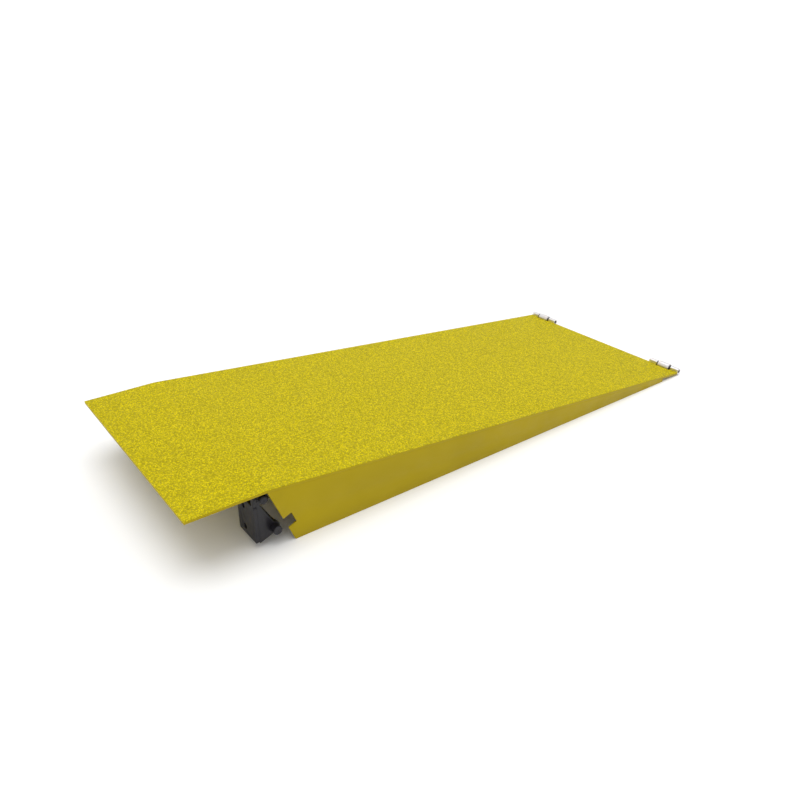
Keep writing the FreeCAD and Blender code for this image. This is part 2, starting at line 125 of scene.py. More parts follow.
class ShaderGraph:
    """A material's node tree, with short calls for adding and joining nodes."""

    def __init__(self, name: str) -> None:
        """Start an empty material.

        Args:
            name: the material's name.
        """
        self.material = bpy.data.materials.new(name)
        self.material.use_nodes = True
        self.tree = self.material.node_tree
        self.tree.nodes.clear()
        self.output = self.tree.nodes.new("ShaderNodeOutputMaterial")
        self.surface = self.tree.nodes.new("ShaderNodeBsdfPrincipled")
        self.join(self.surface.outputs["BSDF"], self.output.inputs["Surface"])
        self.place = self.tree.nodes.new("ShaderNodeTexCoord").outputs["Object"]

    def join(self, source: Socket, target: Socket) -> None:
        """Link two sockets."""
        self.tree.links.new(source, target)

    def noise(self, scale: float, detail: float = 3.0, roughness: float = 0.55) -> Socket:
        """Fractal noise over the object.

        Args:
            scale: repeats in a metre.
            detail: octaves.
            roughness: weight of each finer octave.

        Returns:
            The noise's value, about 0.5.
        """
        node = self.tree.nodes.new("ShaderNodeTexNoise")
        node.inputs["Scale"].default_value = scale
        node.inputs["Detail"].default_value = detail
        node.inputs["Roughness"].default_value = roughness
        self.join(self.place, node.inputs["Vector"])
        return node.outputs["Fac"]

    def stretched_noise(self, scale: float, stretch: Sequence[float]) -> Socket:
        """Noise drawn out along an axis, as tool marks are.

        Args:
            scale: repeats in a metre before stretching.
            stretch: factor on each axis.

        Returns:
            The noise's value.
        """
        mapping = self.tree.nodes.new("ShaderNodeMapping")
        mapping.inputs["Scale"].default_value = stretch
        self.join(self.place, mapping.inputs["Vector"])
        node = self.tree.nodes.new("ShaderNodeTexNoise")
        node.inputs["Scale"].default_value = scale
        node.inputs["Detail"].default_value = 4.0
        self.join(mapping.outputs["Vector"], node.inputs["Vector"])
        return node.outputs["Fac"]

    def cells(self, scale: float, output: str = "Distance") -> Socket:
        """Voronoi cells, one for each grain.

        Args:
            scale: cells in a metre.
            output: the socket wanted, Distance or Color.

        Returns:
            That socket.
        """
        node = self.tree.nodes.new("ShaderNodeTexVoronoi")
        node.inputs["Scale"].default_value = scale
        self.join(self.place, node.inputs["Vector"])
        return node.outputs[output]

    def ramp(
        self, value: Socket, low: float, high: float, low_to: float = 0.0, high_to: float = 1.0
    ) -> Socket:
        """Map a stretch of values onto another, and hold it there.

        Args:
            value: what is mapped.
            low: start of the stretch.
            high: end of the stretch.
            low_to: result at and below low.
            high_to: result at and above high.

        Returns:
            The mapped value.
        """
        node = self.tree.nodes.new("ShaderNodeMapRange")
        node.interpolation_type = "SMOOTHSTEP"
        node.inputs["From Min"].default_value = low
        node.inputs["From Max"].default_value = high
        node.inputs["To Min"].default_value = low_to
        node.inputs["To Max"].default_value = high_to
        self.join(value, node.inputs["Value"])
        return node.outputs["Result"]

    def math(self, kind: str, first: Socket, second: Socket | float) -> Socket:
        """Arithmetic on two values.

        Args:
            kind: the operation's name.
            first: left operand.
            second: right operand, a socket or a number.

        Returns:
            The result.
        """
        node = self.tree.nodes.new("ShaderNodeMath")
        node.operation = kind
        self.join(first, node.inputs[0])
        if isinstance(second, (int, float)):
            node.inputs[1].default_value = second
        else:
            self.join(second, node.inputs[1])
        return node.outputs["Value"]

    def blend(
        self,
        share: Socket,
        first: Socket | Sequence[float],
        second: Socket | Sequence[float],
    ) -> Socket:
        """Mix two colours.

        Args:
            share: 0 for the first, 1 for the second.
            first: colour or socket.
            second: colour or socket.

        Returns:
            The mixed colour.
        """
        node = self.tree.nodes.new("ShaderNodeMix")
        node.data_type = "RGBA"
        self.join(share, node.inputs["Factor"])
        for socket, given in ((node.inputs[6], first), (node.inputs[7], second)):
            if isinstance(given, Socket):
                self.join(given, socket)
            else:
                socket.default_value = (*given, 1.0)
        return node.outputs[2]

    def patch(self, value: Socket, patch: Patch, base: Socket, colour: Colour) -> Socket:
        """Tint a coat where a pattern says.

        Args:
            value: the pattern.
            patch: where it tints, and how strongly.
            base: the coat's colour so far.
            colour: the coat's plain colour.

        Returns:
            The new colour.
        """
        share = self.ramp(value, patch.low, patch.high, patch.share_low, patch.share_high)
        return self.blend(share, base, tint(colour, patch.factor))

    def edges(self, radius: float) -> Socket:
        """How near a point is to a sharp edge.

        Args:
            radius: reach of the edge, in metres.

        Returns:
            0 on a flat, rising towards 1 at an edge.
        """
        rounded = self.tree.nodes.new("ShaderNodeBevel")
        rounded.samples = EDGE_SAMPLES
        rounded.inputs["Radius"].default_value = radius
        plain = self.tree.nodes.new("ShaderNodeNewGeometry")
        dot = self.tree.nodes.new("ShaderNodeVectorMath")
        dot.operation = "DOT_PRODUCT"
        self.join(rounded.outputs["Normal"], dot.inputs[0])
        self.join(plain.outputs["Normal"], dot.inputs[1])
        return self.ramp(dot.outputs["Value"], *EDGE_TURN, 1.0, 0.0)

    def bump(self, heights: Sequence[tuple[Socket, float]]) -> None:
        """Stack bumps onto the surface's normal.

        Args:
            heights: each height with its depth in metres.
        """
        last = None
        for height, depth in heights:
            node = self.tree.nodes.new("ShaderNodeBump")
            node.inputs["Distance"].default_value = depth
            self.join(height, node.inputs["Height"])
            if last is not None:
                self.join(last.outputs["Normal"], node.inputs["Normal"])
            last = node
        self.join(last.outputs["Normal"], self.surface.inputs["Normal"])

    def set(self, **values: float) -> None:
        """Set constants on the surface's own sockets, with _ for a space in a socket's name."""
        for name, value in values.items():
            self.surface.inputs[name.replace("_", " ")].default_value = value

    def colour(self, source: Socket) -> None:
        """Drive the base colour."""
        self.join(source, self.surface.inputs["Base Color"])

    def roughness(self, source: Socket) -> None:
        """Drive the roughness."""
        self.join(source, self.surface.inputs["Roughness"])


# ---------------------------------------------------------------- finishes


def tint(colour: Sequence[float], factor: float) -> Colour:
    """A colour made darker or lighter by a factor."""
    return tuple(min(1.0, part * factor) for part in colour)


@dataclass(frozen=True)
class PowderCoat:
    """Sprayed and baked paint with orange peel, faint clouding and edges rubbed thin."""

    name: str
    colour: Colour
    worn: Colour
    gloss_low: float = 0.40
    gloss_high: float = 0.54
    clouding: float = 0.06
    peel_size: float = 1.6 * MM
    peel_depth: float = 0.035 * MM
    wear_reach: float = 0.9 * MM
    wear_share: float = 0.35
    shine: float = 0.16
    cloud_scale: float = 5.0
    speck_scale: float = 420.0
    speck: Patch = Patch(0.70, 0.78, 0.0, 0.30, 0.72)
    wear_scale: float = 60.0
    wear_patch: tuple[float, float] = (0.48, 0.66)
    gloss_scale: float = 28.0
    dent_scale: float = 35.0

    def build(self) -> bpy.types.Material:
        """Make the material.

        Returns:
            The finished material.
        """
        graph = ShaderGraph(self.name)
        cloud = graph.ramp(graph.noise(self.cloud_scale), *MIDDLE_OF_NOISE)
        base = graph.blend(
            cloud, tint(self.colour, 1.0 - self.clouding), tint(self.colour, 1.0 + self.clouding))
        base = graph.patch(graph.noise(self.speck_scale, 2.0), self.speck, base, self.colour)
        patchy = graph.ramp(graph.noise(self.wear_scale, 5.0), *self.wear_patch)
        rubbed = graph.math("MULTIPLY", graph.edges(self.wear_reach), patchy)
        rubbed = graph.math("MULTIPLY", rubbed, self.wear_share)
        graph.colour(graph.blend(rubbed, base, self.worn))
        gloss = graph.noise(self.gloss_scale)
        graph.roughness(graph.ramp(gloss, *MIDDLE_OF_NOISE, self.gloss_low, self.gloss_high))
        graph.bump([
            (graph.noise(1.0 / self.peel_size, 2.0), self.peel_depth),
            (graph.noise(self.dent_scale, 2.0), 3.0 * self.peel_depth),
        ])
        graph.set(IOR=1.5, Specular_IOR_Level=self.shine)
        return graph.material


@dataclass(frozen=True)
class GripCoat:
    """Crushed grain held in yellow paint: every grain stands out, with painted shade where the paint pools
    between them and painted highlights on the clump tops and grain centres.
    """

    name: str
    colour: Colour
    grain: float = 2.4 * MM
    fine_grain: float = 1.2 * MM
    clump: float = 5.0 * MM
    grain_depth: float = 1.1 * MM
    fine_depth: float = 0.4 * MM
    cloud_scale: float = 7.0
    clouding: float = 0.025
    # painted shade on the clump pattern for paint pooled in the hollows, and painted highlight for the raised
    # clumps
    painted_pool_shade: Patch = Patch(0.52, 0.64, 0.0, 0.60, 0.66)
    painted_clump_highlight: Patch = Patch(0.36, 0.47, 0.60, 0.0, 1.42)
    pale_grain: Patch = Patch(0.52, 0.84, 0.0, 0.82, 1.50)
    dark_grain: Patch = Patch(0.16, 0.48, 0.82, 0.0, 0.56)
    # painted highlight on each grain's centre and painted shade in the gaps between grains
    painted_crest_highlight: Patch = Patch(0.05, 0.38, 0.55, 0.0, 1.34)
    shade: Patch = Patch(0.34, 0.74, 0.0, 0.70, 0.62)

    def build(self) -> bpy.types.Material:
        """Make the material.

        Returns:
            The finished material.
        """
        graph = ShaderGraph(self.name)
        coarse = graph.cells(1.0 / self.grain)
        fine = graph.cells(1.0 / self.fine_grain)
        clump = graph.noise(1.0 / self.clump, 3.0, 0.6)
        tone = graph.cells(1.0 / self.grain, "Color")
        cloud = graph.ramp(graph.noise(self.cloud_scale), *MIDDLE_OF_NOISE)
        base = graph.blend(
            cloud, tint(self.colour, 1.0 - self.clouding), tint(self.colour, 1.0 + self.clouding))
        # the clump and grain-cell patches paint shade and highlight into the colour; the tone patches are
        # each grain's own colour
        for pattern, patch in (
            (clump, self.painted_pool_shade),
            (clump, self.painted_clump_highlight),
            (tone, self.pale_grain),
            (tone, self.dark_grain),
            (coarse, self.painted_crest_highlight),
            (coarse, self.shade),
        ):
            base = graph.patch(pattern, patch, base, self.colour)
        graph.colour(base)
        graph.roughness(graph.ramp(fine, 0.1, 0.8, 0.50, 0.72))
        graph.bump([
            (graph.ramp(coarse, 0.0, 0.8, 1.0, 0.0), self.grain_depth),
            (graph.ramp(fine, 0.0, 0.8, 1.0, 0.0), self.fine_depth),
            (clump, self.grain_depth),
        ])
        graph.set(IOR=1.48, Specular_IOR_Level=0.12)
        return graph.material


@dataclass(frozen=True)
class ZincPlate:
    """Bright zinc over turned steel: fine tool marks round the piece and a faint passivated tint."""

    name: str
    colour: Colour = (0.78, 0.78, 0.80)
    tinted: Colour = (0.80, 0.75, 0.72)
    lines: float = 900.0
    line_depth: float = 0.012 * MM
    tint_scale: float = 90.0
    stain_scale: float = 260.0
    pit_scale: float = 700.0
    gloss_low: float = 0.34
    gloss_high: float = 0.52
    stain: Patch = Patch(0.60, 0.74, 0.0, 0.45, 0.55)
    mark_stretch: tuple[float, float, float] = (0.06, 1.0, 0.06)

    def build(self) -> bpy.types.Material:
        """Make the material.

        Returns:
            The finished material.
        """
        graph = ShaderGraph(self.name)
        base = graph.blend(graph.ramp(graph.noise(self.tint_scale), 0.35, 0.65), self.colour, self.tinted)
        graph.colour(graph.patch(graph.noise(self.stain_scale, 5.0), self.stain, base, self.colour))
        marks = graph.stretched_noise(self.lines, self.mark_stretch)
        graph.roughness(graph.ramp(marks, *MIDDLE_OF_NOISE, self.gloss_low, self.gloss_high))
        graph.bump([(marks, self.line_depth), (graph.noise(self.pit_scale), self.line_depth)])
        graph.set(Metallic=1.0)
        return graph.material


@dataclass(frozen=True)
class StudioFloor:
    """Matt pale sweep under the ramp."""

    name: str = "studio_floor"
    colour: Colour = (0.93, 0.93, 0.93)

    def build(self) -> bpy.types.Material:
        """Make the material.

        Returns:
            The finished material.
        """
        graph = ShaderGraph(self.name)
        cloud = graph.ramp(graph.noise(0.8), *MIDDLE_OF_NOISE)
        graph.colour(graph.blend(cloud, tint(self.colour, 0.99), self.colour))
        graph.set(Roughness=0.9, IOR=1.3)
        return graph.material


SKIRT_YELLOW = (0.372, 0.277, 0.0005)
GRIP_YELLOW = (0.605, 0.497, 0.0006)

FINISHES = {
    Slot.YELLOW: PowderCoat("yellow_powder_coat", SKIRT_YELLOW, worn=(0.40, 0.33, 0.05)),
    Slot.GRIT: GripCoat("yellow_grip_coat", GRIP_YELLOW),
    Slot.BLACK: PowderCoat(
        "black_paint", (0.010, 0.009, 0.012), worn=(0.08, 0.08, 0.09), wear_share=0.5, shine=0.4),
    Slot.ZINC: ZincPlate("bright_zinc"),
    Slot.DARK: PowderCoat(
        "black_oxide", (0.018, 0.017, 0.018), worn=(0.12, 0.11, 0.11), peel_depth=0.01 * MM, shine=0.5),
}


# ---------------------------------------------------------------- mesh helpers


@dataclass
class Workshop:
    """Turns finished bmeshes into pieces that ride on their bodies."""

    materials: dict[Slot, bpy.types.Material]

    def publish(
        self, mesh: BMesh, name: str, slot: Slot, body: Body, stands_for: Iterable[str] = ()
    ) -> bpy.types.Object:
        """Make an object of a bmesh, paint it, and hand it to its body.

        Args:
            mesh: the shape, with its place in its vertices; it is freed here.
            name: the piece's name.
            slot: its finish.
            body: what it rides on.
            stands_for: CAD nodes that it is shown in place of.

        Returns:
            The new object.
        """
        for face in mesh.faces:
            face.smooth = True
        for edge in mesh.edges:
            edge.smooth = len(edge.link_faces) == 2 and edge.calc_face_angle(0.0) < SHARP_ANGLE
        data = bpy.data.meshes.new(name)
        mesh.to_mesh(data)
        mesh.free()
        data.materials.append(self.materials[slot])
        piece = bpy.data.objects.new(name, data)
        bpy.context.scene.collection.objects.link(piece)
        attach(piece, body.value)
        nodes = list(stands_for)
        if nodes:
            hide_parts(*nodes)
        LOG.info("%s: %d faces on %s", name, len(data.polygons), body.value)
        return piece


def middle_of(node: str) -> Vector:
    """Middle of a CAD node's box."""
    low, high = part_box(node)
    return (low + high) / 2.0


def merged_copy(node: str) -> BMesh:
    """Copy a CAD node's mesh, closed up and with its flat faces made whole.

    Args:
        node: the CAD node.

    Returns:
        The copy.
    """
    mesh = bmesh.new()
    mesh.from_mesh(frame["nodes"][node].data)
    bmesh.ops.remove_doubles(mesh, verts=mesh.verts, dist=MERGE_DISTANCE)
    bmesh.ops.dissolve_limit(
        mesh, angle_limit=FLAT_ANGLE, use_dissolve_boundaries=False, verts=mesh.verts, edges=mesh.edges)
    return mesh


def ease_edges(mesh: BMesh, width: float, segments: int = 2) -> None:
    """Round every hard edge of a mesh.

    Args:
        mesh: the shape.
        width: how far the rounding reaches.
        segments: steps across it.
    """
    hard = [edge for edge in mesh.edges if edge.is_manifold and edge.calc_face_angle(0.0) > BEVEL_ANGLE]
    bmesh.ops.bevel(
        mesh, geom=hard, offset=width, offset_type="OFFSET", segments=segments, profile=0.5,
        affect="EDGES", clamp_overlap=True, material=-1)


def turn_on_lathe(mesh: BMesh, centre: Vector, profile: Sequence[tuple[float, float]], closed: bool,
                  steps: int = ROUND_STEPS) -> None:
    """Spin an outline about an axis along Y.

    Args:
        mesh: what the shape is added to.
        centre: a point on the axis; the outline's lengths are measured from it.
        profile: (radius, length along Y) points.
        closed: whether the outline closes on itself, as a ring's does.
        steps: faces round the axis.
    """
    before = set(mesh.verts)
    line = [mesh.verts.new(centre + ALONG * radius + ACROSS * length) for radius, length in profile]
    pairs = list(zip(line, line[1:]))
    if closed:
        pairs.append((line[-1], line[0]))
    edges = [mesh.edges.new(pair) for pair in pairs]
    bmesh.ops.spin(
        mesh, geom=line + edges, cent=centre, axis=ACROSS, dvec=Vector(), angle=FULL_TURN, steps=steps,
        use_merge=True, use_normal_flip=False, use_duplicate=False)
    made = [vertex for vertex in mesh.verts if vertex not in before]
    bmesh.ops.remove_doubles(mesh, verts=made, dist=MERGE_DISTANCE)
    made = [vertex for vertex in mesh.verts if vertex not in before]
    faces = list({face for vertex in made for face in vertex.link_faces})
    bmesh.ops.recalc_face_normals(mesh, faces=faces)


def bar_profile(radius: float, length: float, chamfer: float, dimple: float) -> list[tuple[float, float]]:
    """Outline of a solid round bar with chamfered, centre-drilled ends.

    Args:
        radius: outside.
        length: whole length.
        chamfer: bevel on each end.
        dimple: radius of the centre drilling.

    Returns:
        Points from one pole to the other.
    """
    half = length / 2.0
    end = [
        (0.0, half - dimple),
        (dimple, half),
        (radius - chamfer, half),
        (radius, half - chamfer),
    ]
    return end + [(across, -along) for across, along in reversed(end)]


def ring_profile(outside: float, bore: float, length: float, chamfer: float) -> list[tuple[float, float]]:
    """Outline of a tube's wall with its four corners eased.

    Args:
        outside: outer radius.
        bore: inner radius.
        length: whole length.
        chamfer: bevel on every corner.

    Returns:
        Points once round the wall.
    """
    half = length / 2.0
    return [
        (bore, half - chamfer),
        (bore + chamfer, half),
        (outside - chamfer, half),
        (outside, half - chamfer),
        (outside, chamfer - half),
        (outside - chamfer, -half),
        (bore + chamfer, -half),
        (bore, chamfer - half),
    ]


def sweep(mesh: BMesh, path: Sequence[Vector], radius_at: Callable[[int], float], sides: int = 10) -> None:
    """Draw a round section along a path.

    Args:
        mesh: what the shape is added to.
        path: points along the middle.
        radius_at: radius at each point's number.
        sides: faces round the section.
    """
    bead = bmesh.new()
    heading = (path[1] - path[0]).normalized()
    turned = UPWARD.rotation_difference(heading).to_matrix().to_4x4()
    start = bmesh.ops.create_circle(
        bead, cap_ends=True, segments=sides, radius=radius_at(0), matrix=Matrix.Translation(path[0]) @ turned)
    face = start["verts"][0].link_faces[0]
    for number in range(1, len(path)):
        grown = bmesh.ops.extrude_face_region(bead, geom=[face], use_keep_orig=number == 1)
        ring = [item for item in grown["geom"] if isinstance(item, BMVert)]
        face = next(item for item in grown["geom"] if isinstance(item, BMFace))
        following = path[min(number + 1, len(path) - 1)] - path[number - 1]
        swing = heading.rotation_difference(following.normalized()).to_matrix().to_4x4()
        heading = following.normalized()
        size = radius_at(number) / radius_at(number - 1)
        at = Matrix.Translation(path[number])
        back = Matrix.Translation(-path[number - 1])
        bmesh.ops.transform(bead, matrix=at @ swing @ Matrix.Scale(size, 4) @ back, verts=ring)
    bmesh.ops.recalc_face_normals(bead, faces=bead.faces)
    carrier = bpy.data.meshes.new("carrier")
    bead.to_mesh(carrier)
    bead.free()
    mesh.from_mesh(carrier)
    bpy.data.meshes.remove(carrier)


# ---------------------------------------------------------------- sub-assemblies


@dataclass
class RampLines:
    """The ramp's own straight lines, read from the frame."""

    lip_end: float = 0.0
    bend: float = 0.0
    toe: float = 0.0
    lip_top: float = 0.0
    toe_top: float = 0.0
    lip_under: float = 0.0
    half_width: float = 0.0
    under_start: float = 0.0

    def __post_init__(self) -> None:
        """Read the lines from the plate, the coating and a skirt."""
        plate_low, plate_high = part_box("deck_plate")
        coat_low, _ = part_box("grit_coating")
        skirt_low, skirt_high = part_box("side_skirt_left")
        eye_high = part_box("hinge_eye_left_outer")[1]
        self.lip_end, self.toe = plate_low.x, plate_high.x
        self.bend = skirt_low.x
        self.lip_top, self.toe_top = plate_high.z, coat_low.z
        self.lip_under = eye_high.z
        self.half_width = plate_high.y
        self.under_start = skirt_high.z

    @property
    def slope(self) -> float:
        """Fall for each metre along."""
        return (self.lip_top - self.toe_top) / (self.toe - self.bend)

    def under(self, along: float) -> float:
        """Height of the ramp's underside at a place along X."""
        return self.under_start - self.slope * (along - self.bend)


@dataclass
class GripSurface:
    """The coating's top as real relief on a fine grid, closed down to the steel."""

    cell: float = 3.0 * MM
    relief: float = 0.26 * MM
    fade: float = 5.0 * MM
    bend_reach: float = 10.0 * MM
    roller_gap: float = 1.5 * MM
    coarse_size: float = 7.0 * MM
    fine_size: float = 3.2 * MM

    def surface_fall(self, lines: RampLines, along: float) -> float:
        """How far the top has dropped below the lip, with the bend eased.

        Args:
            lines: the ramp's lines.
            along: place along X.

        Returns:
            The drop, in metres.
        """
        past = along - lines.bend
        if past <= -self.bend_reach:
            return 0.0
        if past >= self.bend_reach:
            return lines.slope * past
        return lines.slope * (past + self.bend_reach) ** 2 / (4.0 * self.bend_reach)

    def grain_height(self, place: Vector) -> float:
        """Relief at a place, from clumps and single grains.

        Args:
            place: the point.

        Returns:
            A height from about -1 to 1.
        """
        clumps = noise.noise(place / self.coarse_size)
        grains = noise.noise(place / self.fine_size + UPWARD * 9.0)
        return 0.9 * clumps + 1.3 * grains

    def cut_line(self, mesh: BMesh, place: Vector, normal: Vector) -> None:
        """Add a row of edges where a plane crosses the grid."""
        everything = list(mesh.verts) + list(mesh.edges) + list(mesh.faces)
        bmesh.ops.bisect_plane(mesh, geom=everything, dist=MERGE_DISTANCE, plane_co=place, plane_no=normal)

    def notch_rollers(self, mesh: BMesh) -> None:
        """Take the grid away over both roller cut-outs.

        Args:
            mesh: the flat grid.
        """
        for side in Side:
            roller_low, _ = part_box(f"toe_roller_{side.value}")
            back = roller_low.x - self.roller_gap
            faces_y = []
            for place in ("outer", "inner"):
                low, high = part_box(f"toe_knuckle_{side.value}_{place}")
                faces_y += [low.y, high.y]
            near, far = sorted(faces_y)[1:3]
            self.cut_line(mesh, ALONG * back, ALONG)
            self.cut_line(mesh, ACROSS * near, ACROSS)
            self.cut_line(mesh, ACROSS * far, ACROSS)
            gone = [
                face for face in mesh.faces
                if face.calc_center_median().x > back and near < face.calc_center_median().y < far
            ]
            bmesh.ops.delete(mesh, geom=gone, context="FACES")

    def raise_grain(self, mesh: BMesh, lines: RampLines) -> None:
        """Lift the grid to its height and give it its grain, fading out at the edges.

        Args:
            mesh: the flat grid.
            lines: the ramp's lines.
        """
        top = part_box("grit_coating")[1].z
        for vertex in mesh.verts:
            x, y = vertex.co.x, vertex.co.y
            rim = min(x - lines.lip_end, lines.toe - self.roller_gap - x, lines.half_width - abs(y))
            strength = max(0.0, min(1.0, rim / self.fade))
            if vertex.is_boundary:
                strength = 0.0
            height = self.grain_height(vertex.co) * self.relief * strength
            vertex.co.z = top - self.surface_fall(lines, x) + height

    def close_below(self, mesh: BMesh, lines: RampLines) -> None:
        """Run walls down from the rim and close the underside in two flat faces.

        Args:
            mesh: the raised grid.
            lines: the ramp's lines.
        """
        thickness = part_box("grit_coating")[1].z - lines.lip_top
        rim = [edge for edge in mesh.edges if edge.is_boundary]
        grown = bmesh.ops.extrude_edge_only(mesh, edges=rim)
        lower = [item for item in grown["geom"] if isinstance(item, BMVert)]
        bmesh.ops.translate(mesh, verts=lower, vec=-UPWARD * thickness)
        foot = [edge for edge in mesh.edges if edge.is_boundary]
        at_bend = [vertex for vertex in lower if abs(vertex.co.x - lines.bend) < AT_BEND]
        across = mesh.edges.new(at_bend)
        reach = lines.bend + AT_BEND
        lip: list[BMEdge] = [edge for edge in foot if max(v.co.x for v in edge.verts) <= reach]
        ramp = [edge for edge in foot if edge not in set(lip)]
        bmesh.ops.contextual_create(mesh, geom=lip + [across])
        bmesh.ops.contextual_create(mesh, geom=ramp + [across])
        bmesh.ops.recalc_face_normals(mesh, faces=mesh.faces)

    def build(self, shop: Workshop, lines: RampLines) -> None:
        """Make the coating.

        Args:
            shop: where pieces are finished.
            lines: the ramp's lines.
        """
        length = lines.toe - lines.lip_end
        width = 2.0 * lines.half_width
        mesh = bmesh.new()
        spread = Matrix.Diagonal((length / 2.0, width / 2.0, 1.0, 1.0))
        at = Matrix.Translation(ALONG * (lines.lip_end + length / 2.0))
        bmesh.ops.create_grid(
            mesh, x_segments=round(length / self.cell), y_segments=round(width / self.cell), size=1.0,
            matrix=at @ spread)
        self.cut_line(mesh, ALONG * lines.bend, ALONG)
        self.notch_rollers(mesh)
        self.raise_grain(mesh, lines)
        self.close_below(mesh, lines)
        shop.publish(mesh, "grip_surface", Slot.GRIT, Body.RAMP, ["grit_coating"])


@dataclass
class PlateWork:
    """Every flat steel piece, cut as the frame has it and with its edges eased."""

    sheet_edge: float = 0.35 * MM
    heavy_edge: float = 0.6 * MM

    def painted(self, shop: Workshop, node: str, slot: Slot, body: Body, edge: float) -> None:
        """Show one plate with eased edges.

        Args:
            shop: where pieces are finished.
            node: the CAD node that it stands for.
            slot: its finish.
            body: what it rides on.
            edge: how far its edges are eased.
        """
        mesh = merged_copy(node)
        ease_edges(mesh, edge)
        shop.publish(mesh, f"{node}_steel", slot, body, [node])

    def build(self, shop: Workshop) -> None:
        """Make the plate, skirts, ribs, eyes, lugs and foot plates.

        Args:
            shop: where pieces are finished.
        """
        bodies = frame["record"]["behaviour"]["bodies"]
        sheet = ("deck_plate", "side_skirt", "inner_rib", "cross_rib")
        for node in bodies[Body.RAMP.value]:
            if node.startswith(sheet):
                self.painted(shop, node, Slot.YELLOW, Body.RAMP, self.sheet_edge)
            elif node.startswith("hinge_eye"):
                self.painted(shop, node, Slot.YELLOW, Body.RAMP, self.heavy_edge)
        for node in bodies[Body.BRACKET.value]:
            if node.startswith(("lug_plate", "foot_plate")):
                self.painted(shop, node, Slot.BLACK, Body.BRACKET, self.heavy_edge)


@dataclass
class TurnedBars:
    """Hinge rod, stop bar and roller axles: solid bars with centre-drilled ends."""

    rod_chamfer: float = 1.5 * MM
    bar_chamfer: float = 0.75 * MM
    axle_chamfer: float = 0.5 * MM
    dimple: float = 1.6 * MM
    axle_dimple: float = 1.0 * MM

    def bar(self, shop: Workshop, node: str, slot: Slot, body: Body, chamfer: float, dimple: float) -> None:
        """Turn one bar to the size of its CAD node.

        Args:
            shop: where pieces are finished.
            node: the CAD node that it stands for.
            slot: its finish.
            body: what it rides on.
            chamfer: bevel on its ends.
            dimple: radius of its centre drilling.
        """
        low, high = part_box(node)
        mesh = bmesh.new()
        profile = bar_profile((high.z - low.z) / 2.0, high.y - low.y, chamfer, dimple)
        turn_on_lathe(mesh, middle_of(node), profile, closed=False)
        shop.publish(mesh, f"{node}_turned", slot, body, [node])

    def build(self, shop: Workshop) -> None:
        """Turn all the bars.

        Args:
            shop: where pieces are finished.
        """
        self.bar(shop, "hinge_rod", Slot.BLACK, Body.BRACKET, self.rod_chamfer, self.dimple)
        self.bar(shop, "stop_bar", Slot.BLACK, Body.BRACKET, self.bar_chamfer, self.dimple)
        for side in Side:
            axle = f"roller_axle_{side.value}"
            self.bar(shop, axle, Slot.DARK, Body.RAMP, self.axle_chamfer, self.axle_dimple)


@dataclass
class ToeRollers:
    """Knuckles, rollers and the washers between them."""

    roller_chamfer: float = 1.0 * MM
    knuckle_chamfer: float = 0.6 * MM
    washer_chamfer: float = 0.25 * MM
    roller_play: float = 0.08 * MM
    washer_play: float = 0.02 * MM
    side_play: float = 0.25 * MM

    def knuckle(self, shop: Workshop, node: str, axle: Vector, axle_radius: float, toe: float) -> None:
        """Turn a knuckle and cut its flat against the toe edge.

        Args:
            shop: where pieces are finished.
            node: the CAD node.
            axle: a point on the roller's axis.
            axle_radius: the axle's radius.
            toe: place of the toe edge along X.
        """
        low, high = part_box(node)
        centre = Vector((axle.x, (low.y + high.y) / 2.0, axle.z))
        mesh = bmesh.new()
        outline = ring_profile((high.z - low.z) / 2.0, axle_radius + self.washer_play, high.y - low.y,
                               self.knuckle_chamfer)
        turn_on_lathe(mesh, centre, outline, closed=True)
        everything = list(mesh.verts) + list(mesh.edges) + list(mesh.faces)
        bmesh.ops.bisect_plane(
            mesh, geom=everything, dist=MERGE_DISTANCE, plane_co=ALONG * toe, plane_no=ALONG,
            clear_inner=True)
        bmesh.ops.contextual_create(mesh, geom=[edge for edge in mesh.edges if edge.is_boundary])
        bmesh.ops.recalc_face_normals(mesh, faces=mesh.faces)
        shop.publish(mesh, f"{node}_turned", Slot.ZINC, Body.RAMP, [node])

    def build(self, shop: Workshop, lines: RampLines) -> None:
        """Make both roller sets.

        Args:
            shop: where pieces are finished.
            lines: the ramp's lines.
        """
        washers = bmesh.new()
        for side in Side:
            axle_low, axle_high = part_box(f"roller_axle_{side.value}")
            axle = (axle_low + axle_high) / 2.0
            axle_radius = (axle_high.z - axle_low.z) / 2.0
            roller_node = f"toe_roller_{side.value}"
            low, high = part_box(roller_node)
            roller = bmesh.new()
            outline = ring_profile((high.z - low.z) / 2.0, axle_radius + self.roller_play, high.y - low.y,
                                   self.roller_chamfer)
            turn_on_lathe(roller, middle_of(roller_node), outline, closed=True)
            shop.publish(roller, f"{roller_node}_turned", Slot.ZINC, ROLLER_BODY[side], [roller_node])
            edges_y = []
            for place in ("outer", "inner"):
                node = f"toe_knuckle_{side.value}_{place}"
                self.knuckle(shop, node, axle, axle_radius, lines.toe)
                edges_y += [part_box(node)[0].y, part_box(node)[1].y]
            self.add_washers(washers, axle, axle_radius, sorted(edges_y)[1:3])
        shop.publish(washers, "roller_washers_turned", Slot.DARK, Body.RAMP, ["roller_washers"])

    def add_washers(self, mesh: BMesh, axle: Vector, axle_radius: float, gap: Sequence[float]) -> None:
        """Add a washer at each end of one roller, against its knuckles.

        Args:
            mesh: holds all the washers.
            axle: a point on the roller's axis.
            axle_radius: the axle's radius.
            gap: the inner faces of the two knuckles, along Y.
        """
        low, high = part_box("roller_washers")
        radius = (high.z - low.z) / 2.0
        roller_low, roller_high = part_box("toe_roller_left")
        play = ((gap[1] - gap[0]) - (roller_high.y - roller_low.y)) / 2.0
        thick = play - self.side_play
        for face, inward in ((gap[0], 1.0), (gap[1], -1.0)):
            centre = Vector((axle.x, face + inward * thick / 2.0, axle.z))
            outline = ring_profile(radius, axle_radius + self.washer_play, thick, self.washer_chamfer)
            turn_on_lathe(mesh, centre, outline, closed=True, steps=SMALL_ROUND_STEPS)


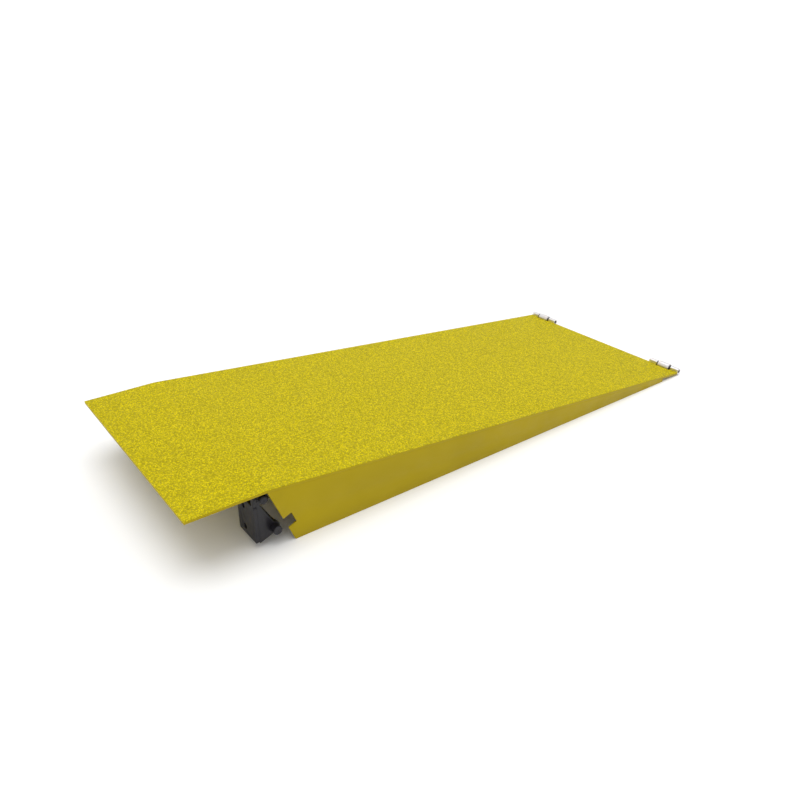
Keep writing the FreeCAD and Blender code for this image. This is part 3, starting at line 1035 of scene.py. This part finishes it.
@dataclass
class RodEnds:
    """Washers and split pins that keep the hinge rod in its lugs."""

    washer_chamfer: float = 0.3 * MM
    washer_thick: float = 2.0 * MM
    washer_play: float = 0.1 * MM
    pin_half: float = 1.5 * MM
    wire: float = 0.72 * MM
    eye_radius: float = 2.6 * MM
    reach: float = 1.5 * MM
    leg: float = 5.0 * MM
    spread: float = math.radians(28.0)
    eye_steps: int = 22
    elbow_along: float = 0.3
    elbow_rise: float = 0.13

    def pin_path(self, rod: Vector, radius: float, across: float) -> list[Vector]:
        """Middle line of one bent wire: leg, shank, eye, shank and leg.

        Args:
            rod: a point on the rod's axis.
            radius: the rod's radius.
            across: the pin's place along Y.

        Returns:
            The line's points.
        """
        centre = Vector((rod.x, across, rod.z))
        front = radius + self.reach
        neck = -front
        lift = self.wire * 1.02
        upper = [
            centre + ALONG * (front + self.leg * math.cos(self.spread))
            + UPWARD * (lift + self.leg * math.sin(self.spread)),
            centre + ALONG * (front + self.leg * self.elbow_along)
            + UPWARD * (lift + self.leg * self.elbow_rise),
            centre + ALONG * front + UPWARD * lift,
            centre + ALONG * neck + UPWARD * lift,
        ]
        opening = math.asin(lift / self.eye_radius)
        hub = centre + ALONG * (neck - self.eye_radius * math.cos(opening))
        eye = []
        for step in range(1, self.eye_steps):
            angle = opening + (FULL_TURN - 2.0 * opening) * step / self.eye_steps
            eye.append(hub + (ALONG * math.cos(angle) + UPWARD * math.sin(angle)) * self.eye_radius)
        lower = [point - UPWARD * 2.0 * (point.z - centre.z) for point in reversed(upper)]
        return upper + eye + lower

    def build(self, shop: Workshop) -> None:
        """Make the washers and the pins.

        Args:
            shop: where pieces are finished.
        """
        rod = middle_of("hinge_rod")
        rod_low, rod_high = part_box("hinge_rod")
        radius = (rod_high.z - rod_low.z) / 2.0
        washer_low, washer_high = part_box("rod_washers")
        pins_low, pins_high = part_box("split_pins")
        washers, pins = bmesh.new(), bmesh.new()
        for edge, inward in ((washer_low.y, 1.0), (washer_high.y, -1.0)):
            centre = Vector((rod.x, edge + inward * self.washer_thick / 2.0, rod.z))
            outline = ring_profile((washer_high.z - washer_low.z) / 2.0, radius + self.washer_play,
                                   self.washer_thick, self.washer_chamfer)
            turn_on_lathe(washers, centre, outline, closed=True, steps=SMALL_ROUND_STEPS)
        for edge, inward in ((pins_low.y, 1.0), (pins_high.y, -1.0)):
            path = self.pin_path(rod, radius, edge + inward * self.pin_half)
            sweep(pins, path, lambda _: self.wire, sides=12)
        shop.publish(washers, "rod_washers_turned", Slot.DARK, Body.BRACKET, ["rod_washers"])
        shop.publish(pins, "split_pins_bent", Slot.DARK, Body.BRACKET, ["split_pins"])


@dataclass
class Welds:
    """Stitch welds under the ramp and on the bracket, each a bead with its ripples."""

    bead: float = 2.4 * MM
    small_bead: float = 1.6 * MM
    ripple: float = 1.7 * MM
    ripple_depth: float = 0.13
    stitch: float = 46.0 * MM
    stitches: int = 6
    end_gap: float = 45.0 * MM

    def run(self, mesh: BMesh, start: Vector, end: Vector, radius: float) -> None:
        """Lay one rippled bead between two points.

        Args:
            mesh: holds the beads of one group.
            start: first point, in the corner of the joint.
            end: last point.
            radius: size of the bead.
        """
        steps = max(8, round((end - start).length / self.ripple * 4))
        path = [start.lerp(end, step / steps) for step in range(steps + 1)]

        def radius_at(step: int) -> float:
            """Radius at a step: ripples, tapering at both ends."""
            from_end = min(step, steps - step)
            taper = min(1.0, 0.45 + 0.2 * from_end)
            beat = (step % 4) / 4.0
            wander = noise.noise(path[step] * 260.0) * 0.08
            return radius * taper * (1.0 - self.ripple_depth * beat + wander)

        sweep(mesh, path, radius_at, sides=10)

    def long_seams(self, shop: Workshop, lines: RampLines) -> None:
        """Stitch skirts and inner ribs to the underside of the plate.

        Args:
            shop: where pieces are finished.
            lines: the ramp's lines.
        """
        for side in Side:
            faces = {}
            skirt_low, skirt_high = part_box(f"side_skirt_{side.value}")
            rib_low, rib_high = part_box(f"inner_rib_{side.value}")
            faces["skirt"] = [skirt_high.y if side is Side.LEFT else skirt_low.y]
            faces["rib"] = [rib_low.y, rib_high.y]
            for name, places in faces.items():
                mesh = bmesh.new()
                first = lines.bend + self.end_gap
                last = skirt_high.x - self.end_gap - self.stitch
                for number in range(self.stitches):
                    start_x = first + (last - first) * number / (self.stitches - 1)
                    for across in places:
                        ends = [
                            Vector((along, across, lines.under(along)))
                            for along in (start_x, start_x + self.stitch)
                        ]
                        self.run(mesh, *ends, self.bead)
                shop.publish(mesh, f"{name}_welds_{side.value}", Slot.YELLOW, Body.RAMP)

    def cross_seams(self, shop: Workshop) -> None:
        """Weld both ends of each cross rib, on its face towards the toe.

        Args:
            shop: where pieces are finished.
        """
        mesh = bmesh.new()
        for node in frame["record"]["behaviour"]["bodies"][Body.RAMP.value]:
            if not node.startswith("cross_rib"):
                continue
            low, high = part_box(node)
            for across in (low.y, high.y):
                foot = Vector((high.x, across, low.z + self.bead * 1.5))
                head = Vector((high.x, across, high.z - self.bead * 2.5))
                self.run(mesh, foot, head, self.small_bead)
        shop.publish(mesh, "cross_rib_welds", Slot.YELLOW, Body.RAMP)

    def eye_seams(self, shop: Workshop, lines: RampLines) -> None:
        """Weld each hinge eye to the lip along its face that is clear of lugs and ribs.

        Args:
            shop: where pieces are finished.
            lines: the ramp's lines.
        """
        mesh = bmesh.new()
        for side in Side:
            outward = -1.0 if side is Side.LEFT else 1.0
            for place, facing in (("outer", -outward), ("inner", outward)):
                low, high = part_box(f"hinge_eye_{side.value}_{place}")
                across = high.y if facing > 0.0 else low.y
                start = Vector((low.x + self.small_bead, across, lines.lip_under))
                end = Vector((lines.bend, across, lines.lip_under))
                self.run(mesh, start, end, self.small_bead)
        shop.publish(mesh, "hinge_eye_welds", Slot.YELLOW, Body.RAMP)

    def knuckle_seams(self, shop: Workshop, lines: RampLines) -> None:
        """Weld each knuckle under the toe edge.

        Args:
            shop: where pieces are finished.
            lines: the ramp's lines.
        """
        mesh = bmesh.new()
        plate_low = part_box("deck_plate")[0].z
        for side in Side:
            for place in ("outer", "inner"):
                low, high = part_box(f"toe_knuckle_{side.value}_{place}")
                height = plate_low + self.small_bead * 0.6
                start = Vector((lines.toe, low.y + self.small_bead, height))
                end = Vector((lines.toe, high.y - self.small_bead, height))
                self.run(mesh, start, end, self.small_bead * 0.9)
        shop.publish(mesh, "toe_knuckle_welds", Slot.YELLOW, Body.RAMP)

    def lug_seams(self, shop: Workshop) -> None:
        """Weld each lug to its foot plate along the inboard face.

        Args:
            shop: where pieces are finished.
        """
        mesh = bmesh.new()
        for side in Side:
            foot_low, foot_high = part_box(f"foot_plate_{side.value}")
            lug_low, lug_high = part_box(f"lug_plate_{side.value}")
            across = lug_high.y if side is Side.LEFT else lug_low.y
            start = Vector((foot_high.x, across, foot_low.z + self.bead * 1.5))
            end = Vector((foot_high.x, across, foot_high.z - self.bead * 1.5))
            self.run(mesh, start, end, self.bead)
        shop.publish(mesh, "lug_welds", Slot.BLACK, Body.BRACKET)

    def build(self, shop: Workshop, lines: RampLines) -> None:
        """Lay every weld.

        Args:
            shop: where pieces are finished.
            lines: the ramp's lines.
        """
        self.long_seams(shop, lines)
        self.cross_seams(shop)
        self.eye_seams(shop, lines)
        self.knuckle_seams(shop, lines)
        self.lug_seams(shop)


# ---------------------------------------------------------------- studio


@dataclass
class Studio:
    """Pale floor, soft lights and the camera."""

    azimuth: float = math.radians(-36.826)
    elevation: float = math.radians(27.548)
    distance: float = 1.5981
    target: tuple[float, float, float] = (-0.0591, -0.0196, 0.050)
    lens: float = 34.041
    sensor: float = 36.0
    floor_size: float = 600.0
    sky: float = 0.80
    horizon: float = 1.25
    overhead: float = 1.45
    overhead_spread: float = math.radians(50.0)

    def floor(self) -> None:
        """Lay the floor."""
        mesh = bmesh.new()
        bmesh.ops.create_grid(mesh, x_segments=1, y_segments=1, size=self.floor_size / 2.0)
        data = bpy.data.meshes.new("floor")
        mesh.to_mesh(data)
        mesh.free()
        data.materials.append(StudioFloor().build())
        floor = bpy.data.objects.new("floor", data)
        bpy.context.scene.collection.objects.link(floor)

    def world(self) -> None:
        """Even white light from all round, a little brighter low down."""
        world = bpy.data.worlds.new("studio")
        bpy.context.scene.world = world
        world.use_nodes = True
        tree = world.node_tree
        background = tree.nodes["Background"]
        background.inputs["Color"].default_value = (1.0, 1.0, 1.0, 1.0)
        heading = tree.nodes.new("ShaderNodeTexCoord")
        parts = tree.nodes.new("ShaderNodeSeparateXYZ")
        climb = tree.nodes.new("ShaderNodeMapRange")
        climb.inputs["From Min"].default_value = 0.02
        climb.inputs["From Max"].default_value = 0.12
        climb.inputs["To Min"].default_value = self.horizon
        climb.inputs["To Max"].default_value = self.sky
        tree.links.new(heading.outputs["Generated"], parts.inputs["Vector"])
        tree.links.new(parts.outputs["Z"], climb.inputs["Value"])
        tree.links.new(climb.outputs["Result"], background.inputs["Strength"])

    def overhead_light(self) -> None:
        """Broad soft light from straight above."""
        data = bpy.data.lights.new("overhead", "SUN")
        data.energy = self.overhead
        data.angle = self.overhead_spread
        light = bpy.data.objects.new("overhead", data)
        bpy.context.scene.collection.objects.link(light)

    def camera(self) -> None:
        """Stand the camera back from its target along the view."""
        back = Vector((
            math.sin(self.azimuth) * math.cos(self.elevation),
            -math.cos(self.azimuth) * math.cos(self.elevation),
            math.sin(self.elevation),
        ))
        data = bpy.data.cameras.new("view")
        data.lens = self.lens
        data.sensor_width = self.sensor
        data.clip_end = 2000.0
        camera = bpy.data.objects.new("view", data)
        camera.location = Vector(self.target) + back * self.distance
        camera.rotation_euler = (-back).to_track_quat("-Z", "Y").to_euler()
        bpy.context.scene.collection.objects.link(camera)
        bpy.context.scene.camera = camera

    def build(self) -> None:
        """Set everything up."""
        self.floor()
        self.world()
        self.overhead_light()
        self.camera()
        view = bpy.context.scene.view_settings
        view.view_transform = "Standard"
        view.look = "None"


def main() -> None:
    """Build the whole ramp and its studio."""
    logging.basicConfig(level=logging.INFO, format="%(name)s %(message)s")
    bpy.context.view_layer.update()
    shop = Workshop({slot: finish.build() for slot, finish in FINISHES.items()})
    lines = RampLines()
    GripSurface().build(shop, lines)
    PlateWork().build(shop)
    TurnedBars().build(shop)
    ToeRollers().build(shop, lines)
    RodEnds().build(shop)
    Welds().build(shop, lines)
    Studio().build()


if __name__ == "__main__":
    main()
